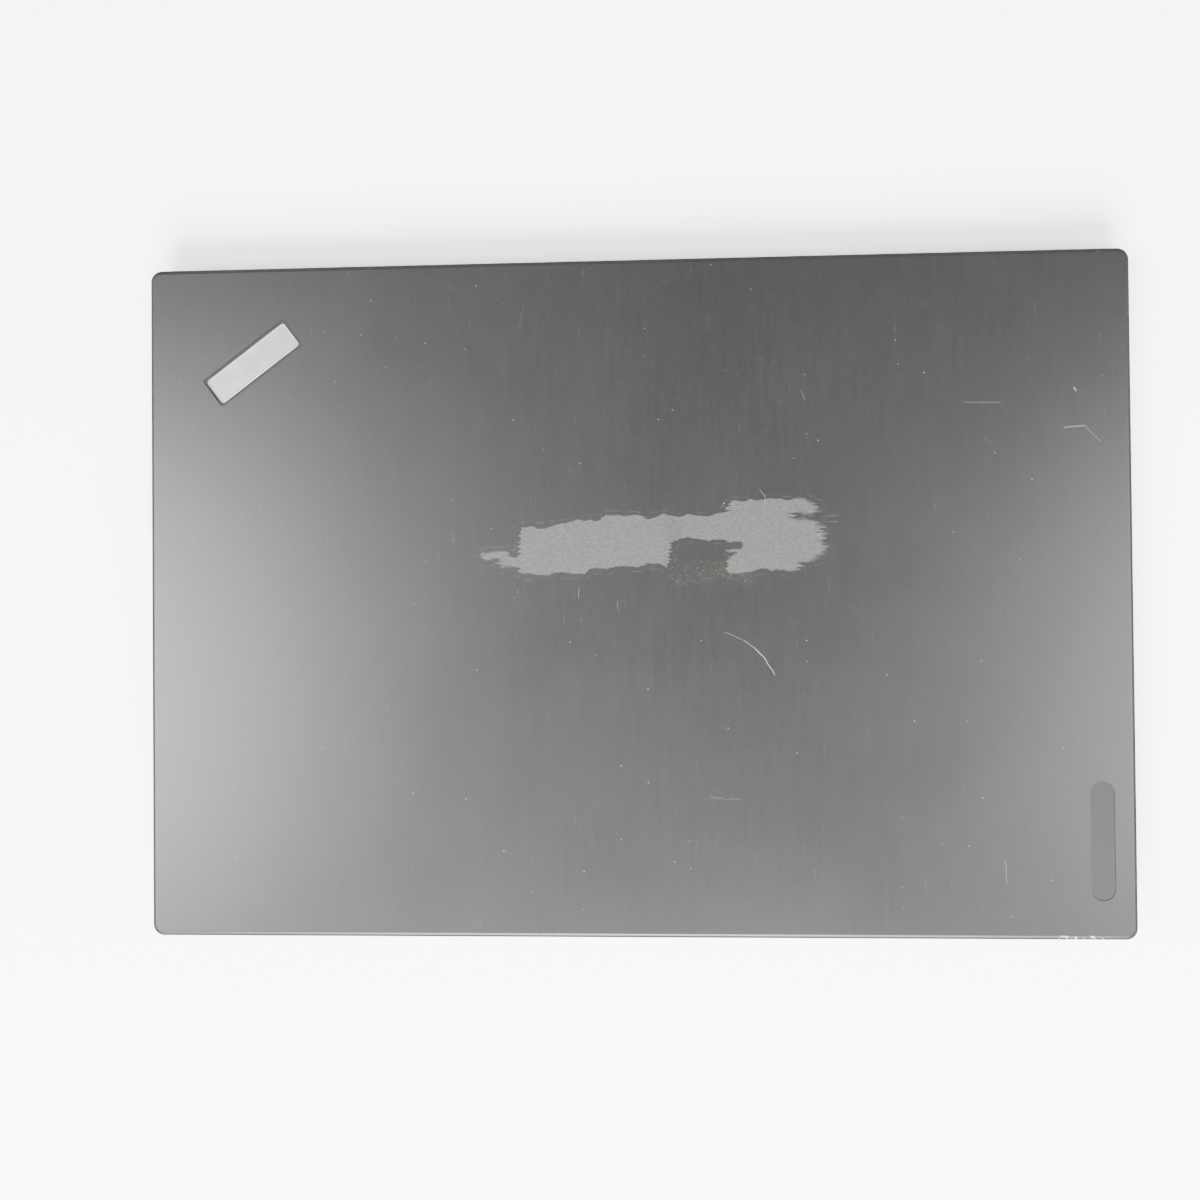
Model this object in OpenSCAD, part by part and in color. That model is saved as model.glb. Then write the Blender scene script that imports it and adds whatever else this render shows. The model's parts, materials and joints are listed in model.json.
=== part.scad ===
// Clamshell notebook computer, 14-inch class, lid closed.
// Origin: centre of the footprint, on the surface that the feet stand on.
// +X is the user's right, +Y runs from the front edge to the hinge, +Z is up.

/* [Body] */
// Width of the closed computer
body_w = 336.6; // [334:0.1:345]
// Depth of the closed computer
body_d = 232.5; // [228:0.1:240]
// Radius of the vertical corners
corner_r = 4; // [2.5:0.5:6]
// Height of the base without its feet
base_h = 12.2; // [12.2:0.1:14]
// Thickness of the closed lid
lid_t = 6.2; // [6.2:0.1:6.6]
// Gap between the lid and the palm rest
lid_gap = 0.35; // [0.35:0.05:0.6]
// Wall thickness of the base shells
wall = 1.6; // [1.4:0.1:1.8]

/* [Display] */
// Width of the visible display area
view_w = 309.4; // [300:0.1:310]
// Height of the visible display area
view_h = 174; // [168:0.1:175]
// Bezel between the lid's free edge and the display
bezel_top = 17.5; // [17:0.5:20]

/* [Keyboard] */
// Pitch of a standard key
key_pitch = 19.05; // [18.5:0.05:19.05]
// Gap between neighbouring key caps
key_gap = 2.85; // [2.5:0.05:3.5]
// Travel of a key
key_travel = 1.4; // [1:0.1:1.4]
// Pitch depth of the function row
function_d = 13.5; // [12:0.5:14]

/* [Touchpad] */
// Width of the touchpad
pad_w = 100; // [90:1:104]
// Depth of the touchpad
pad_d = 53.8; // [50:0.1:54]
// Depth of the three buttons behind the touchpad
button_d = 14.2; // [12:0.1:14.5]

/* [Hidden] */
$fn = 64;
hx = body_w / 2;
hy = body_d / 2;

// Levels, counted up from the table
base_z0 = 1.2;
floor_t = 1.2;
floor_z = base_z0 + floor_t;
split_z = base_z0 + 3;
top_z = base_z0 + base_h;
plate_z = top_z - wall;
lid_z0 = top_z + lid_gap;
lid_z1 = lid_z0 + lid_t;
seam = 0.1;

// Rear step that the lid's rear edge turns in
bevel = 5;
step_y = hy - 6.45;
sill_z = base_z0 + 3.9;

// Hinge
hinge_y = hy - 3;
hinge_z = top_z - 0.4;
barrel_r = 2.7;
pin_r = 1.5;
pin_clear = 0.05;
notch_r = barrel_r + 0.35;
notch_x0 = 115.9;
notch_x1 = 142.7;
barrel_x0 = 120;
barrel_x1 = 134;
arm_x1 = 142;
bracket_plate_z = 7.8;
bracket_y0 = hy - 31.25;
bracket_y1 = hy - 9.25;
bracket_screws = [
  [116, bracket_y0 + 4], [138, bracket_y0 + 4], [116, bracket_y1 - 4], [138, bracket_y1 - 4]
];

// Lid parts
bezel_t = 1.1;
cover_z0 = lid_z0 + bezel_t + 0.05;
skin_t = 1.2;
cover_wall = 1.4;
cover_edge_r = 1.6;
view_y0 = -hy + bezel_top;
panel_z = lid_z0 + bezel_t + 0.1;
panel_w = view_w + 6.6;
panel_y0 = view_y0 - 4.25;
panel_y1 = view_y0 + view_h + 8.75;
glass_t = 1;
backlight_t = 2;
arm_z = panel_z + 0.65;
arm_t = 1;
arm_strip_x = 159;
arm_strip_w = 6;
lid_screw_at = [[162, -50], [162, 0], [162, 50], [162, hy - 14.25], [150, hy - 14.25]];
camera_y = -hy + 8.75;
badge_at = [hx - 36.7, -hy + 33.1];
badge_tilt = -143.4;
badge_size = [36, 11.6];
mark_at = [-hx + 11.4, hy - 33.25];
mark_size = [8, 40];

// Keyboard
keys_u = 15;
board_w = keys_u * key_pitch;
keys_y0 = -35.6;
keys_y1 = keys_y0 + 5 * key_pitch + function_d;
well_x = board_w / 2 + 2.6;
well_y0 = keys_y0 - 2.2;
well_y1 = keys_y1 + 2;
key_top = top_z - 0.1;
key_t = 2.3;
lattice_z = key_top - key_t - key_travel - 0.3;
lattice_top = top_z - 1.5;
base_plate_t = 0.8;
key_clear = 0.35;
stick_at = [-board_w / 2 + 6.75 * key_pitch, keys_y0 + 2 * key_pitch + 0.7];
stick_r = 3.1;
function_row = [for (i = [1:17]) keys_u / 17];
number_row = [for (i = [1:14]) i < 14 ? 1 : 2];
upper_row = [for (i = [1:14]) i == 1 || i == 14 ? 1.5 : 1];
home_row = [for (i = [1:13]) i == 1 ? 1.75 : i == 13 ? 2.25 : 1];
lower_row = [for (i = [1:12]) i == 1 ? 2.25 : i == 12 ? 2.75 : 1];
bottom_row = [1, 1, 1, 1, 5, 1, 1, 1];
space_index = 4;

// Touchpad and buttons
pad_z = top_z - 0.1;
pad_t = 1.3;
pad_y1 = -54.45;
pad_y0 = pad_y1 - pad_d;
pad_gap = 0.4;
button_y0 = pad_y1 + 0.75;
button_t = 2.2;
middle_w = 34;

// Side sockets: distance of each centre from the footprint's centre, and their common height
socket_z = 8.3;
socket_x = hx - 0.4;
usb_right = [42, 22];
usb_left = -6;
usb_c_left = [92, 17];
hdmi_at = 62;
ethernet_at = 84;
card_at = -4;
audio_at = -30;
lock_at = 99;

// Cooling
fan_at = [-hx + 50.3, 55];
fan_r = 24.5;
fan_z0 = 2.7;
fan_z1 = 7.9;
fin_y0 = 33;
fin_y1 = 78;
speaker_at = [hx - 31.3, -hy + 22.75];
power_at = [98, 91];
finger_at = [76, -62];

front_screw_y = -hy + 7.85;
rear_screw_y = hy - 11.75;
bottom_screw_at = [
  [-hx + 7.9, front_screw_y], [hx - 7.9, front_screw_y], [0, front_screw_y],
  [-hx + 10.3, -44], [hx - 10.3, -44],
  [-hx + 20.3, rear_screw_y], [hx - 20.3, rear_screw_y],
  [-60, rear_screw_y], [60, rear_screw_y], [0, rear_screw_y]
];
board_screw_at = [[-78, 80.5], [0, 80.5], [90, 80.5]];
screw_r = 1;

// ---------- shared shapes ----------

// Rectangle with round corners, from its centre
module round_rect(w, d, r) {
  square([w - 2 * r, d], center = true);
  square([w, d - 2 * r], center = true);
  for (x = [-1, 1], y = [-1, 1])
    translate([x * (w / 2 - r), y * (d / 2 - r)]) circle(r);
}

// The same as a plate between two heights
module round_plate(w, d, r, z0, z1) {
  translate([0, 0, z0]) linear_extrude(z1 - z0) round_rect(w, d, r);
}

// Block given by its two opposite corners
module block(a, b) {
  translate(a) cube(b - a);
}

module disc(at, r, z0, z1) {
  translate([at[0], at[1], z0]) cylinder(r = r, h = z1 - z0);
}

// Cylinder along X, at a height and a depth
module rod_x(x0, x1, y, z, r) {
  translate([x0, y, z]) rotate([0, 90, 0]) cylinder(r = r, h = x1 - x0);
}

module both_sides() {
  children();
  mirror([1, 0, 0]) children();
}

// Slot with round ends along X, as a block from the left end to the right end
module stadium_x(x0, x1, y, z, w, h) {
  for (s = [-1, 1]) rod_x(x0, x1, y + s * (w - h) / 2, z, h / 2);
  block([x0, y - (w - h) / 2, z - h / 2], [x1, y + (w - h) / 2, z + h / 2]);
}

// ---------- base shells ----------

// The base's outer form, or its inner form when it is inset
module base_form(inset, z0, z1) {
  difference() {
    tray_form(inset, z0, z1);
    rear_step(inset);
  }
}

// The same without the rear step
module tray_form(inset, z0, z1) {
  difference() {
    round_plate(body_w - 2 * inset, body_d - 2 * inset, max(corner_r - inset, 1), z0, z1);
    side_bevels(inset == 0 ? 0 : inset + 0.5);
  }
}

// Wedges along the four lower edges
module side_bevels(inset) {
  bevel_wedges(hx - inset, hy + 10);
  rotate([0, 0, 90]) bevel_wedges(hy - inset, hx + 10);
}

module bevel_wedges(half, long) {
  rise = split_z - base_z0;
  both_sides() translate([half, long, split_z])
    rotate([90, 0, 0]) linear_extrude(2 * long)
      polygon([[0, 0], [-2 * bevel, -2 * rise], [bevel, -2 * rise], [bevel, 0]]);
}

module rear_step(inset) {
  block([-hx - 1, step_y - inset, sill_z - inset], [hx + 1, hy + 1, top_z + 1]);
}

// One copy at each point of a list
module at_points(points) {
  for (p = points) translate([p[0], p[1], 0]) children();
}

// Openings that the sockets need in the side walls
module socket_cuts() {
  for (y = usb_right) wall_hole(1, y, 13.6, 6.1);
  wall_hole(-1, usb_left, 13.6, 6.1);
  wall_hole(1, hdmi_at, 15.6, 6);
  for (y = usb_c_left)
    stadium_x(-hx - 1, -hx + wall + 0.2, y, socket_z, 9.6, 3.8);
  wall_hole(1, lock_at, 7.2, 3.2);
  block([hx - wall - 0.2, card_at - 12.3, 4.6], [hx + 1, card_at + 12.3, 7]);
  rod_x(hx - wall - 0.2, hx + 1, audio_at, socket_z, 2.6);
  ethernet_opening(hx - 5, hx + 1);
}

module wall_hole(side, y, w, h) {
  x0 = side > 0 ? hx - wall - 0.2 : -hx - 1;
  block([x0, y - w / 2, socket_z - h / 2], [x0 + wall + 1.2, y + w / 2, socket_z + h / 2]);
}

// The network socket's opening: the plug's body over the slot for its latch
module ethernet_opening(x0, x1) {
  block([x0, ethernet_at - 5.95, 4.6], [x1, ethernet_at + 5.95, 11.3]);
  block([x0, ethernet_at - 3.1, 3.4], [x1, ethernet_at + 3.1, 4.7]);
}

module top_case() {
  color("#232426") difference() {
    union() {
      difference() {
        base_form(0, split_z, top_z);
        base_form(wall, split_z - 1, plate_z);
      }
      screw_posts();
    }
    keyboard_well();
    socket_cuts();
    exhaust_slots();
    disc(power_at, 6.4, plate_z - 1, top_z + 1);
    translate([finger_at[0], finger_at[1], 0])
      round_plate(12.4, 12.4, 1.5, plate_z - 1, top_z + 1);
    both_sides() block([120.7, step_y - wall - 1, 10.1], [133.3, step_y + 1, plate_z]);
    at_points(bottom_screw_at) disc([0, 0], screw_r + 0.05, split_z - 3, 9);
    at_points(board_screw_at) disc([0, 0], screw_r + 0.05, 7, 10.8);
    both_sides() at_points(bracket_screws) disc([0, 0], screw_r + 0.05, 8, 11.5);
  }
}

module keyboard_well() {
  block([-well_x, well_y0, split_z], [well_x, well_y1, top_z + 1]);
  block([-pad_w / 2 - pad_gap, pad_y0 - pad_gap, split_z],
        [pad_w / 2 + pad_gap, button_y0 + button_d + pad_gap, top_z + 1]);
}

// Posts that the bottom, board and hinge screws go into
module screw_posts() {
  at_points(bottom_screw_at) disc([0, 0], 2.6, floor_z + seam, plate_z + 0.2);
  at_points(board_screw_at) disc([0, 0], 2.4, 8.3, plate_z + 0.2);
  both_sides() at_points(bracket_screws) disc([0, 0], 2.4, bracket_plate_z + 1.45, plate_z + 0.2);
}

module exhaust_slots() {
  n = 9;
  pitch = (fin_y1 - fin_y0) / n;
  for (i = [0:n - 1])
    block([-hx - 1, fin_y0 + (i + 0.5) * pitch - 1.7, 5],
          [-hx + wall + 0.3, fin_y0 + (i + 0.5) * pitch + 1.7, 8.2]);
}

module bottom_cover() {
  color("#1d1e20") difference() {
    tray_form(0, base_z0, split_z - seam);
    tray_form(wall, floor_z, split_z + 1);
    ethernet_opening(hx - 5, hx + 1);
    at_points(bottom_screw_at) {
      disc([0, 0], 1.4, base_z0 - 1, floor_z + 1);
      disc([0, 0], 2.5, base_z0 - 1, base_z0 + 0.6);
    }
    intake_slots();
    both_sides() speaker_slots();
    foot_sites(0.1, base_z0 - 1, base_z0 + 0.4);
  }
}

// Rows of slots inside a circle under the fan
module intake_slots() {
  for (i = [-4:4]) {
    half = sqrt(20 * 20 - pow(i * 4, 2));
    translate([fan_at[0], fan_at[1] + i * 4, 0])
      round_plate(2 * half, 2, 0.9, base_z0 - 1, floor_z + 1);
  }
}

module speaker_slots() {
  for (i = [0:4]) translate([speaker_at[0], speaker_at[1] + (i - 2) * 3.2, 0])
    round_plate(30, 1.4, 0.6, base_z0 - 1, floor_z + 1);
}

module foot_sites(clear, z0, z1) {
  both_sides() {
    translate([hx - 36.3, -hy + 9.75, 0]) round_plate(30 + 2 * clear, 7 + 2 * clear, 3, z0, z1);
    translate([100, hy - 13.25, 0]) round_plate(62 + 2 * clear, 8 + 2 * clear, 3.5, z0, z1);
  }
}

module rubber_feet() {
  color("#0f0f10") foot_sites(0, 0, base_z0 + 0.35);
}

module bottom_screws() {
  color("#3a3a3c") at_points(bottom_screw_at) difference() {
    union() {
      disc([0, 0], 2.3, base_z0 + 0.05, base_z0 + 0.6);
      disc([0, 0], screw_r, base_z0 + 0.5, 8);
    }
    disc([0, 0], 0.9, base_z0, base_z0 + 0.35);
  }
}

module inner_screws() {
  color("#8a8a8c") {
    at_points(board_screw_at) {
      disc([0, 0], 2, 6.3, 7.15);
      disc([0, 0], screw_r, 7.1, 10.3);
    }
    both_sides() at_points(bracket_screws) {
      disc([0, 0], 2, bracket_plate_z - 0.9, bracket_plate_z - 0.05);
      disc([0, 0], screw_r, bracket_plate_z - 0.1, 11.2);
    }
  }
}

// ---------- keyboard ----------

function before(row, i) = i == 0 ? 0 : row[i - 1] + before(row, i - 1);

// Each key of a row: [centre x, centre y, width, depth]
function row_keys(row, y0, pitch_d, gap) = [
  for (i = [0:len(row) - 1])
    [-board_w / 2 + (before(row, i) + row[i] / 2) * key_pitch, y0 + pitch_d / 2,
     row[i] * key_pitch - gap, pitch_d - gap]
];
function arrow_cluster() = [
  for (c = [0:2], r = [0:1])
    [-board_w / 2 + (12.5 + c) * key_pitch, keys_y0 + (r + 0.5) * key_pitch / 2,
     key_pitch - key_gap, key_pitch / 2 - 2]
];
function row_at(n) = keys_y0 + n * key_pitch;
function bottom_keys() = row_keys(bottom_row, row_at(0), key_pitch, key_gap);
function all_keys() = concat(
  row_keys(function_row, row_at(5), function_d, key_gap),
  row_keys(number_row, row_at(4), key_pitch, key_gap),
  row_keys(upper_row, row_at(3), key_pitch, key_gap),
  row_keys(home_row, row_at(2), key_pitch, key_gap),
  row_keys(lower_row, row_at(1), key_pitch, key_gap),
  bottom_keys(), arrow_cluster());

module key_shapes(keys, grow, z0, z1) {
  for (k = keys) translate([k[0], k[1], 0])
    round_plate(k[2] + 2 * grow, k[3] + 2 * grow, 1.5, z0, z1);
}

// The caps of some keys, with room round the pointing stick
module caps(keys) {
  color("#161617") difference() {
    key_shapes(keys, 0, key_top - key_t, key_top);
    disc(stick_at, stick_r + 1.1, key_top - key_t - 1, key_top + 1);
  }
}

module key_lattice() {
  color("#101011") difference() {
    block([-well_x + 0.3, well_y0 + 0.3, lattice_z], [well_x - 0.3, well_y1 - 0.3, lattice_top]);
    key_shapes(all_keys(), key_clear, lattice_z - 1, lattice_top + 1);
    disc(stick_at, stick_r + 0.5, lattice_z - 1, lattice_top + 1);
  }
}

module keyboard_plate() {
  color("#6d6f72")
    block([-well_x + 0.3, well_y0 + 0.3, lattice_z - base_plate_t],
          [well_x - 0.3, well_y1 - 0.3, lattice_z]);
}

module rubber_domes() {
  color("#c9c9c4") for (k = all_keys())
    translate([k[0], k[1], lattice_z])
      cylinder(r1 = 2.6, r2 = 1.6, h = key_top - key_t - 0.05 - lattice_z);
}

module pointing_stick() {
  color("#2c2d30") {
    disc(stick_at, 1.4, lattice_z, 12.2);
    disc(stick_at, stick_r, 12.1, 13.6);
    disc(stick_at, stick_r - 0.6, 13.5, 14.1);
  }
}

// ---------- touchpad, buttons and reader ----------

module touchpad() {
  color("#1b1c1e") translate([0, (pad_y0 + pad_y1) / 2, 0])
    round_plate(pad_w, pad_d, 1.5, pad_z - pad_t, pad_z);
}

module pad_button(x0, x1) {
  color("#19191b") translate([(x0 + x1) / 2, button_y0 + button_d / 2, 0])
    round_plate(x1 - x0, button_d, 1, top_z - button_t, top_z);
}

module touchpad_bracket() {
  y1 = button_y0 + button_d;
  color("#7a7c7f") {
    block([-pad_w / 2 - 5, pad_y0 + 1, 9.2], [pad_w / 2 + 5, y1 - 2, 9.9]);
    for (s = [-1, 1])
      translate([s * (pad_w / 2 + 3), (pad_y0 + y1) / 2, 0])
        block([-2, -32, 9.8], [2, 32, plate_z]);
  }
}

module power_button() {
  color("#2b2c2f") disc(power_at, 6, top_z - 1.4, top_z);
}

module fingerprint_reader() {
  color("#0d0d0e") translate([finger_at[0], finger_at[1], 0]) {
    round_plate(12, 12, 1.4, plate_z - 1.4, top_z - 0.3);
    round_plate(16, 15, 1.4, plate_z - 2.2, plate_z - 0.1);
  }
}

// ---------- board and what is on it ----------

module motherboard() {
  z0 = 7.2;
  color("#1f4a35") difference() {
    union() {
      block([-86, -38, z0], [hx - 16.3, 83, z0 + 1]);
      block([-152, -38, z0], [-85, 12, z0 + 1]);
    }
    at_points(board_screw_at) disc([0, 0], screw_r + 0.3, z0 - 1, z0 + 2);
  }
}

module processor() {
  color("#2e3b36") block([-41, 10, 6.2], [1, 34, 7.2]);
  color("#9a9c9f") block([-34, 15, 6.0], [-6, 29, 6.2]);
  color("#202021") for (x = [-66, -52], y = [-34, -16]) block([x, y, 6.4], [x + 8, y + 11, 7.2]);
}

// Copper pipe in one bend, with its block on the processor
module heat_pipe() {
  z0 = 2.6;
  color("#b06a3c") {
    block([-36, 12, z0 + 1.8], [-4, 32, 5.95]);
    block([-hx + 18.3, 18, z0], [-2, 26, z0 + 1.8]);
    block([-hx + 7.3, 29, z0], [-hx + 15.3, fin_y1, z0 + 1.8]);
    translate([-hx + 18.3, 29, z0]) difference() {
      cylinder(r = 11, h = 1.8);
      translate([0, 0, -1]) cylinder(r = 3, h = 4);
      block([0, -12, -1], [12, 12, 4]);
      block([-12, 0, -1], [12, 12, 4]);
    }
  }
}

module heatsink_fins() {
  n = 30;
  pitch = (fin_y1 - fin_y0 - 0.4) / n;
  color("#b8babd") {
    translate([-hx + 2.7, fin_y0, 0]) {
      block([0, 0, 4.5], [17, fin_y1 - fin_y0, 4.8]);
      block([0, 0, 8], [17, fin_y1 - fin_y0, 8.3]);
      for (i = [0:n]) block([0, i * pitch, 4.7], [17, i * pitch + 0.4, 8.1]);
    }
  }
}

module fan_housing() {
  skin = 0.4;
  color("#1a1a1c") difference() {
    block([fan_at[0] - 28, fan_at[1] - 26, fan_z0], [fan_at[0] + 26, fan_at[1] + 26, fan_z1]);
    disc(fan_at, fan_r, fan_z0 + skin, fan_z1 - skin);
    block([fan_at[0] - 29, fan_at[1] - 23, fan_z0 + skin],
          [fan_at[0], fan_at[1] + 23, fan_z1 - skin]);
    difference() {
      disc(fan_at, 18, fan_z0 - 1, fan_z0 + 1);
      disc(fan_at, 9, fan_z0 - 2, fan_z0 + 2);
      for (a = [0, 120, 240]) translate([fan_at[0], fan_at[1], 0]) rotate([0, 0, a])
        block([0, -1.2, fan_z0 - 2], [20, 1.2, fan_z0 + 2]);
    }
  }
  color("#8a8a8c") disc(fan_at, 1, fan_z0 + 0.6, fan_z1 - skin + 0.1);
}

module fan_rotor() {
  blades = 23;
  color("#303134") translate([fan_at[0], fan_at[1], 0]) difference() {
    union() {
      disc([0, 0], 9, fan_z0 + 0.8, fan_z1 - 0.8);
      for (i = [0:blades - 1]) rotate([0, 0, i * 360 / blades])
        translate([8.5, 0, fan_z0 + 0.9]) rotate([0, 0, 28]) cube([15, 0.6, 3.2]);
    }
    disc([0, 0], 1 + pin_clear, fan_z0, fan_z1);
  }
}

module battery_pack() {
  color("#1b1c20") difference() {
    block([-112, -hy + 11.75, 2.7], [112, -44, 8.4]);
    for (x = [-74.5, -37, 0, 37, 74.5]) block([x - 0.6, -hy + 16, 2.6], [x + 0.6, -50, 3.3]);
  }
}

module solid_state_drive() {
  color("#17351f") block([20, -31, 6.2], [100, -9, 7.0]);
  color("#151516") for (x = [24, 44, 64]) block([x, -28, 5.1], [x + 15, -12, 6.2]);
}

module memory_module() {
  color("#16301f") block([20, 4, 4.6], [88, 30, 5.7]);
  color("#141415") {
    for (i = [0:3]) block([24 + i * 16, 8, 3.6], [24 + i * 16 + 11, 22, 4.6]);
    block([18, 30, 4.2], [90, 36, 7.1]);
  }
}

module wireless_card() {
  color("#1f4a35") block([102, 6, 6.2], [132, 28, 7.0]);
  color("#b8babd") block([106, 9, 5.1], [126, 24, 6.2]);
}

module coin_cell() {
  color("#c4c6c9") disc([115, 48], 10, 3.8, 7);
}

module speakers() {
  color("#121213") both_sides() difference() {
    translate([speaker_at[0], speaker_at[1], 0]) round_plate(40, 28, 3, 2.7, 8.6);
    translate([speaker_at[0], speaker_at[1], 0]) round_plate(28, 16, 3, 2.6, 3.3);
  }
}

// ---------- sockets ----------

// Shielded socket on the right-hand wall: shell, back wall and tongue
module shielded_socket(y, w, h, depth, tongue_w, tongue_t, lift) {
  t = 0.4;
  difference() {
    block([socket_x - depth, y - w / 2, socket_z - h / 2], [socket_x, y + w / 2, socket_z + h / 2]);
    block([socket_x - depth + 1.6, y - w / 2 + t, socket_z - h / 2 + t],
          [socket_x + 1, y + w / 2 - t, socket_z + h / 2 - t]);
  }
  block([socket_x - depth + 1, y - tongue_w / 2, socket_z + lift - tongue_t / 2],
        [socket_x - 1.2, y + tongue_w / 2, socket_z + lift + tongue_t / 2]);
}

module usb_ports() {
  color("#a9abae") {
    for (y = usb_right) shielded_socket(y, 13.2, 5.7, 14.5, 11, 1.8, 1);
    mirror([1, 0, 0]) shielded_socket(usb_left, 13.2, 5.7, 14.5, 11, 1.8, 1);
  }
}

module hdmi_port() {
  color("#a9abae") shielded_socket(hdmi_at, 15.2, 5.6, 12, 11.6, 1.2, 0);
}

module usb_c_ports() {
  color("#a9abae") for (y = usb_c_left) {
    difference() {
      stadium_x(-socket_x, -socket_x + 10, y, socket_z, 9.2, 3.4);
      stadium_x(-socket_x - 1, -socket_x + 8.8, y, socket_z, 8.4, 2.6);
    }
    block([-socket_x + 0.8, y - 3.3, socket_z - 0.35], [-socket_x + 9, y + 3.3, socket_z + 0.35]);
  }
}

module ethernet_port() {
  color("#2b2b2d") difference() {
    union() {
      block([hx - 15.7, ethernet_at - 8, split_z + 0.05], [socket_x - 1.6, ethernet_at + 8, 11.5]);
      block([hx - 15.7, ethernet_at - 8, 2.6], [hx - 5.1, ethernet_at + 8, split_z + 0.1]);
    }
    ethernet_opening(hx - 14.1, hx + 2);
  }
}

module audio_jack() {
  color("#141416") difference() {
    union() {
      block([hx - 15.6, audio_at - 3.4, socket_z - 3], [hx - wall - 0.1, audio_at + 3.4, socket_z + 3]);
      rod_x(hx - wall - 0.2, hx, audio_at, socket_z, 2.5);
    }
    rod_x(hx - 14, hx + 1, audio_at, socket_z, 1.8);
  }
}

module card_reader() {
  color("#8f9194") difference() {
    block([hx - 29.3, card_at - 14, 4.15], [hx - wall - 0.4, card_at + 14, 7.1]);
    block([hx - 27.3, card_at - 12.2, 4.65], [hx + 1, card_at + 12.2, 6.9]);
  }
}

module security_slot() {
  color("#8a8c8f") difference() {
    block([hx - 4.4, lock_at - 5.5, 5], [hx - wall - 0.1, lock_at + 5.5, 11.2]);
    block([hx - 5, lock_at - 3.6, socket_z - 1.6], [hx + 1, lock_at + 3.6, socket_z + 1.6]);
  }
}

// ---------- hinges ----------

module hinge_bracket_right() {
  color("#55575a") difference() {
    union() {
      block([112, bracket_y0, bracket_plate_z], [142, bracket_y1, bracket_plate_z + 1.4]);
      block([121, bracket_y1 - 4, bracket_plate_z], [133, bracket_y1, plate_z - 0.1]);
      block([121, bracket_y1 - 4, hinge_z - barrel_r], [133, hinge_y, plate_z - 0.1]);
      rod_x(barrel_x0, barrel_x1, hinge_y, hinge_z, barrel_r);
    }
    rod_x(barrel_x0 - 1, barrel_x1 + 1, hinge_y, hinge_z, pin_r + pin_clear);
    at_points(bracket_screws) disc([0, 0], screw_r + 0.2, bracket_plate_z - 1, bracket_plate_z + 2);
  }
}

module hinge_bracket_left() {
  mirror([1, 0, 0]) hinge_bracket_right();
}

module hinge_arm_right() {
  y0 = hy - 20.25;
  x0 = barrel_x1 + 0.2;
  color("#606265") difference() {
    union() {
      rod_x(x0, arm_x1, hinge_y, hinge_z, barrel_r);
      block([x0, hinge_y - 6, arm_z], [arm_x1, hinge_y, arm_z + arm_t]);
      block([x0, hinge_y - 1.4, hinge_z + 1.7], [arm_x1, hinge_y + 1.4, arm_z + arm_t]);
      block([x0, y0, arm_z], [arm_strip_x + arm_strip_w, hinge_y - 4, arm_z + arm_t]);
      block([arm_strip_x, -60, arm_z], [arm_strip_x + arm_strip_w, y0 + 1, arm_z + arm_t]);
    }
    rod_x(x0 - 1, arm_x1 + 1, hinge_y, hinge_z, pin_r + 0.02);
    at_points(lid_screw_at) disc([0, 0], screw_r + 0.1, arm_z - 1, arm_z + 2);
  }
}

module hinge_arm_left() {
  mirror([1, 0, 0]) hinge_arm_right();
}

module hinge_pins() {
  color("#9a9c9f") both_sides() {
    rod_x(116.4, barrel_x0 - 0.2, hinge_y, hinge_z, 2.4);
    rod_x(barrel_x0 - 0.3, arm_x1 - 0.3, hinge_y, hinge_z, pin_r);
  }
}

// ---------- lid ----------

// Profile of the cover's edge: upright side, round top corner. The origin is the corner's axis
module edge_profile(r, e, h) {
  square([r, h - e]);
  square([r - e, h]);
  translate([r - e, h - e]) circle(e);
}

// Slab with round upright corners and a round upper edge
module crowned_slab(w, d, r, e, z0, z1) {
  h = z1 - z0;
  translate([0, 0, z0]) {
    block([-w / 2 + r, -d / 2 + r, 0], [w / 2 - r, d / 2 - r, h]);
    for (a = [0, 90, 180, 270]) {
      cw = (a == 0 || a == 180) ? w : d;
      cd = (a == 0 || a == 180) ? d : w;
      rotate([0, 0, a]) {
        translate([cw / 2 - r, cd / 2 - r, 0])
          rotate_extrude(angle = 90) edge_profile(r, e, h);
        translate([cw / 2 - r, cd / 2 - r, 0])
          rotate([90, 0, 0]) linear_extrude(cd - 2 * r) edge_profile(r, e, h);
      }
    }
  }
}

// Where the hinge barrels need room in the lid
module hinge_notches() {
  both_sides() {
    rod_x(notch_x0, notch_x1, hinge_y, hinge_z, notch_r);
    block([notch_x0, hinge_y - notch_r, lid_z0 - 1], [notch_x1, hy + 1, hinge_z]);
    block([notch_x0, hinge_y, lid_z0 - 1], [notch_x1, hy + 1, hinge_z + notch_r]);
  }
}

module badge_shape(size, r, z0, z1) {
  translate([badge_at[0], badge_at[1], 0]) rotate([0, 0, badge_tilt])
    round_plate(size[0], size[1], r, z0, z1);
}

module lid_cover() {
  inner_w = body_w - 2 * cover_wall;
  inner_d = body_d - 2 * cover_wall;
  color("#1f2022") difference() {
    union() {
      difference() {
        crowned_slab(body_w, body_d, corner_r, cover_edge_r, cover_z0, lid_z1);
        round_plate(inner_w, inner_d, corner_r - cover_wall, cover_z0 - 1, lid_z1 - skin_t);
      }
      both_sides() at_points(lid_screw_at)
        disc([0, 0], 2.2, arm_z + arm_t + 0.05, lid_z1 - skin_t + 0.3);
    }
    hinge_notches();
    both_sides() at_points(lid_screw_at) disc([0, 0], 0.85, arm_z, lid_z1 - skin_t);
    badge_shape(badge_size, 1.2, lid_z1 - 0.5, lid_z1 + 1);
    translate([mark_at[0], mark_at[1], 0])
      round_plate(mark_size[0], mark_size[1], 3.9, lid_z1 - 0.3, lid_z1 + 1);
  }
}

module lid_badge() {
  color("#c9cbce")
    badge_shape(badge_size - [0.5, 0.5], 1, lid_z1 - 0.5, lid_z1 - 0.05);
}

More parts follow.
